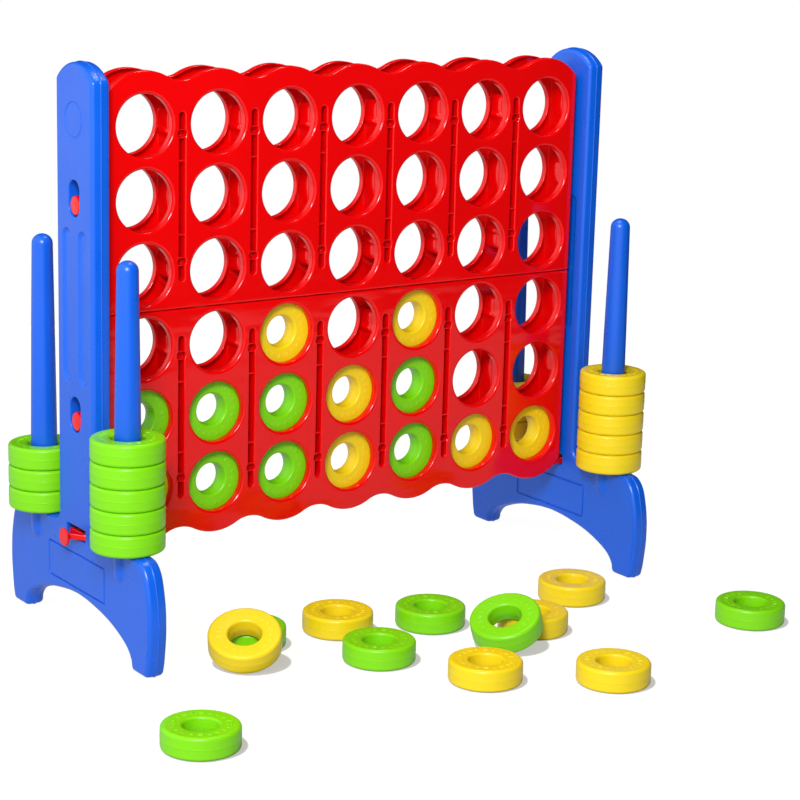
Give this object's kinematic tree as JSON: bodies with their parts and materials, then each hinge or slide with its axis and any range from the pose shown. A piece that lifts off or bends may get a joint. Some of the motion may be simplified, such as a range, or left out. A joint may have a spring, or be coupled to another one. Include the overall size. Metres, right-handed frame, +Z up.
{
  "type": "giant four in a row game",
  "caption": "Giant garden four in a row: upright two-sided board between two stands, with drop-in rings, ring poles and a release slider that lets the rings fall out",
  "frame": {"origin": "middle of the floor area that the whole set covers, loose rings included, at floor height", "axes": "+X runs along the board to the right as the players in front see it, +Y points to the back, away from the loose rings, and +Z is up"},
  "size_m": [1.419, 1.0836, 1.102],
  "materials": {
    "red_plastic": "high-gloss moulded polyethylene",
    "blue_plastic": "satin blow-moulded polyethylene",
    "green_plastic": "satin moulded polyethylene",
    "yellow_plastic": "satin moulded polyethylene"
  },
  "bodies": {
    "set": {"stand_left": "blue_plastic", "stand_right": "blue_plastic", "ring_pole_left_front": "blue_plastic", "ring_pole_left_rear": "blue_plastic", "ring_pole_right_front": "blue_plastic", "ring_pole_right_rear": "blue_plastic", "board_peg_left_upper": "red_plastic", "board_peg_left_lower": "red_plastic", "board_peg_right_upper": "red_plastic", "board_peg_right_lower": "red_plastic", "panel_front_upper": "red_plastic", "panel_front_lower": "red_plastic", "panel_back_upper": "red_plastic", "panel_back_lower": "red_plastic"},
    "slider": {"release_slider": "red_plastic"},
    "ring_yellow_01_body": {"ring_yellow_01": "yellow_plastic"},
    "ring_green_01_body": {"ring_green_01": "green_plastic"},
    "ring_green_02_body": {"ring_green_02": "green_plastic"},
    "ring_green_03_body": {"ring_green_03": "green_plastic"},
    "ring_green_04_body": {"ring_green_04": "green_plastic"},
    "ring_green_05_body": {"ring_green_05": "green_plastic"},
    "ring_yellow_02_body": {"ring_yellow_02": "yellow_plastic"},
    "ring_yellow_03_body": {"ring_yellow_03": "yellow_plastic"},
    "ring_yellow_04_body": {"ring_yellow_04": "yellow_plastic"},
    "ring_green_06_body": {"ring_green_06": "green_plastic"},
    "ring_green_07_body": {"ring_green_07": "green_plastic"},
    "ring_yellow_05_body": {"ring_yellow_05": "yellow_plastic"},
    "ring_yellow_06_body": {"ring_yellow_06": "yellow_plastic"},
    "ring_yellow_07_body": {"ring_yellow_07": "yellow_plastic"},
    "ring_green_08_body": {"ring_green_08": "green_plastic"},
    "ring_green_09_body": {"ring_green_09": "green_plastic"},
    "ring_green_10_body": {"ring_green_10": "green_plastic"},
    "ring_green_11_body": {"ring_green_11": "green_plastic"},
    "ring_green_12_body": {"ring_green_12": "green_plastic"},
    "ring_green_13_body": {"ring_green_13": "green_plastic"},
    "ring_green_14_body": {"ring_green_14": "green_plastic"},
    "ring_green_15_body": {"ring_green_15": "green_plastic"},
    "ring_yellow_08_body": {"ring_yellow_08": "yellow_plastic"},
    "ring_yellow_09_body": {"ring_yellow_09": "yellow_plastic"},
    "ring_yellow_10_body": {"ring_yellow_10": "yellow_plastic"},
    "ring_yellow_11_body": {"ring_yellow_11": "yellow_plastic"},
    "ring_yellow_12_body": {"ring_yellow_12": "yellow_plastic"},
    "ring_yellow_13_body": {"ring_yellow_13": "yellow_plastic"},
    "ring_yellow_14_body": {"ring_yellow_14": "yellow_plastic"},
    "ring_yellow_15_body": {"ring_yellow_15": "yellow_plastic"},
    "ring_green_16_body": {"ring_green_16": "green_plastic"},
    "ring_green_17_body": {"ring_green_17": "green_plastic"},
    "ring_green_18_body": {"ring_green_18": "green_plastic"},
    "ring_green_19_body": {"ring_green_19": "green_plastic"},
    "ring_green_20_body": {"ring_green_20": "green_plastic"},
    "ring_yellow_16_body": {"ring_yellow_16": "yellow_plastic"},
    "ring_yellow_17_body": {"ring_yellow_17": "yellow_plastic"},
    "ring_yellow_18_body": {"ring_yellow_18": "yellow_plastic"},
    "ring_yellow_19_body": {"ring_yellow_19": "yellow_plastic"},
    "ring_yellow_20_body": {"ring_yellow_20": "yellow_plastic"},
    "ring_green_21_body": {"ring_green_21": "green_plastic"},
    "ring_yellow_21_body": {"ring_yellow_21": "yellow_plastic"}
  },
  "joints": [
    {"name": "release_slide", "type": "slide", "parent": "set", "child": "slider", "axis": [-1, 0, 0], "range_m": [0, 0.0793]},
    {"name": "lift_ring_yellow_01", "type": "slide", "parent": "set", "child": "ring_yellow_01_body", "axis": [0, 0, 1], "range_m": [0, 0.8858]},
    {"name": "lift_ring_green_01", "type": "slide", "parent": "ring_yellow_01_body", "child": "ring_green_01_body", "axis": [0, 0, 1], "range_m": [0, 0.7455]},
    {"name": "lift_ring_green_02", "type": "slide", "parent": "set", "child": "ring_green_02_body", "axis": [0, 0, 1], "range_m": [0, 0.8858]},
    {"name": "lift_ring_green_03", "type": "slide", "parent": "ring_green_02_body", "child": "ring_green_03_body", "axis": [0, 0, 1], "range_m": [0, 0.7455]},
    {"name": "lift_ring_green_04", "type": "slide", "parent": "set", "child": "ring_green_04_body", "axis": [0, 0, 1], "range_m": [0, 0.8858]},
    {"name": "lift_ring_green_05", "type": "slide", "parent": "ring_green_04_body", "child": "ring_green_05_body", "axis": [0, 0, 1], "range_m": [0, 0.7455]},
    {"name": "lift_ring_yellow_02", "type": "slide", "parent": "ring_green_05_body", "child": "ring_yellow_02_body", "axis": [0, 0, 1], "range_m": [0, 0.6052]},
    {"name": "lift_ring_yellow_03", "type": "slide", "parent": "set", "child": "ring_yellow_03_body", "axis": [0, 0, 1], "range_m": [0, 0.8858]},
    {"name": "lift_ring_yellow_04", "type": "slide", "parent": "ring_yellow_03_body", "child": "ring_yellow_04_body", "axis": [0, 0, 1], "range_m": [0, 0.7455]},
    {"name": "lift_ring_green_06", "type": "slide", "parent": "set", "child": "ring_green_06_body", "axis": [0, 0, 1], "range_m": [0, 0.8858]},
    {"name": "lift_ring_green_07", "type": "slide", "parent": "ring_green_06_body", "child": "ring_green_07_body", "axis": [0, 0, 1], "range_m": [0, 0.7455]},
    {"name": "lift_ring_yellow_05", "type": "slide", "parent": "ring_green_07_body", "child": "ring_yellow_05_body", "axis": [0, 0, 1], "range_m": [0, 0.6052]},
    {"name": "lift_ring_yellow_06", "type": "slide", "parent": "set", "child": "ring_yellow_06_body", "axis": [0, 0, 1], "range_m": [0, 0.8858]},
    {"name": "lift_ring_yellow_07", "type": "slide", "parent": "set", "child": "ring_yellow_07_body", "axis": [0, 0, 1], "range_m": [0, 0.8858]},
    {"name": "lift_ring_green_08", "type": "slide", "parent": "set", "child": "ring_green_08_body", "axis": [0, 0, 1], "range_m": [0, 0.5497]},
    {"name": "lift_ring_green_09", "type": "slide", "parent": "ring_green_08_body", "child": "ring_green_09_body", "axis": [0, 0, 1], "range_m": [0, 0.5069]},
    {"name": "lift_ring_green_10", "type": "slide", "parent": "ring_green_09_body", "child": "ring_green_10_body", "axis": [0, 0, 1], "range_m": [0, 0.4641]},
    {"name": "lift_ring_green_11", "type": "slide", "parent": "ring_green_10_body", "child": "ring_green_11_body", "axis": [0, 0, 1], "range_m": [0, 0.4213]},
    {"name": "lift_ring_green_12", "type": "slide", "parent": "ring_green_11_body", "child": "ring_green_12_body", "axis": [0, 0, 1], "range_m": [0, 0.3785]},
    {"name": "lift_ring_green_13", "type": "slide", "parent": "set", "child": "ring_green_13_body", "axis": [0, 0, 1], "range_m": [0, 0.5497]},
    {"name": "lift_ring_green_14", "type": "slide", "parent": "ring_green_13_body", "child": "ring_green_14_body", "axis": [0, 0, 1], "range_m": [0, 0.5069]},
    {"name": "lift_ring_green_15", "type": "slide", "parent": "ring_green_14_body", "child": "ring_green_15_body", "axis": [0, 0, 1], "range_m": [0, 0.4641]},
    {"name": "lift_ring_yellow_08", "type": "slide", "parent": "set", "child": "ring_yellow_08_body", "axis": [0, 0, 1], "range_m": [0, 0.5497]},
    {"name": "lift_ring_yellow_09", "type": "slide", "parent": "ring_yellow_08_body", "child": "ring_yellow_09_body", "axis": [0, 0, 1], "range_m": [0, 0.5069]},
    {"name": "lift_ring_yellow_10", "type": "slide", "parent": "ring_yellow_09_body", "child": "ring_yellow_10_body", "axis": [0, 0, 1], "range_m": [0, 0.4641]},
    {"name": "lift_ring_yellow_11", "type": "slide", "parent": "ring_yellow_10_body", "child": "ring_yellow_11_body", "axis": [0, 0, 1], "range_m": [0, 0.4213]},
    {"name": "lift_ring_yellow_12", "type": "slide", "parent": "ring_yellow_11_body", "child": "ring_yellow_12_body", "axis": [0, 0, 1], "range_m": [0, 0.3785]},
    {"name": "lift_ring_yellow_13", "type": "slide", "parent": "set", "child": "ring_yellow_13_body", "axis": [0, 0, 1], "range_m": [0, 0.5497]},
    {"name": "lift_ring_yellow_14", "type": "slide", "parent": "ring_yellow_13_body", "child": "ring_yellow_14_body", "axis": [0, 0, 1], "range_m": [0, 0.5069]},
    {"name": "lift_ring_yellow_15", "type": "slide", "parent": "ring_yellow_14_body", "child": "ring_yellow_15_body", "axis": [0, 0, 1], "range_m": [0, 0.4641]},
    {"name": "lift_ring_green_16", "type": "slide", "parent": "set", "child": "ring_green_16_body", "axis": [0, 0, 1], "range_m": [0, 0.15]},
    {"name": "lift_ring_green_17", "type": "slide", "parent": "set", "child": "ring_green_17_body", "axis": [0, 0, 1], "range_m": [0, 0.15]},
    {"name": "lift_ring_green_18", "type": "slide", "parent": "set", "child": "ring_green_18_body", "axis": [0, 0, 1], "range_m": [0, 0.15]},
    {"name": "lift_ring_green_19", "type": "slide", "parent": "set", "child": "ring_green_19_body", "axis": [0, 0, 1], "range_m": [0, 0.15]},
    {"name": "lift_ring_green_20", "type": "slide", "parent": "set", "child": "ring_green_20_body", "axis": [0, 0, 1], "range_m": [0, 0.15]},
    {"name": "lift_ring_yellow_16", "type": "slide", "parent": "set", "child": "ring_yellow_16_body", "axis": [0, 0, 1], "range_m": [0, 0.15]},
    {"name": "lift_ring_yellow_17", "type": "slide", "parent": "set", "child": "ring_yellow_17_body", "axis": [0, 0, 1], "range_m": [0, 0.15]},
    {"name": "lift_ring_yellow_18", "type": "slide", "parent": "set", "child": "ring_yellow_18_body", "axis": [0, 0, 1], "range_m": [0, 0.15]},
    {"name": "lift_ring_yellow_19", "type": "slide", "parent": "set", "child": "ring_yellow_19_body", "axis": [0, 0, 1], "range_m": [0, 0.15]},
    {"name": "lift_ring_yellow_20", "type": "slide", "parent": "set", "child": "ring_yellow_20_body", "axis": [0, 0, 1], "range_m": [0, 0.15]},
    {"name": "lift_ring_green_21", "type": "slide", "parent": "ring_yellow_20_body", "child": "ring_green_21_body", "axis": [0, 0, 1], "range_m": [0, 0.15]},
    {"name": "lift_ring_yellow_21", "type": "slide", "parent": "ring_green_20_body", "child": "ring_yellow_21_body", "axis": [0, 0, 1], "range_m": [0, 0.15]}
  ]
}
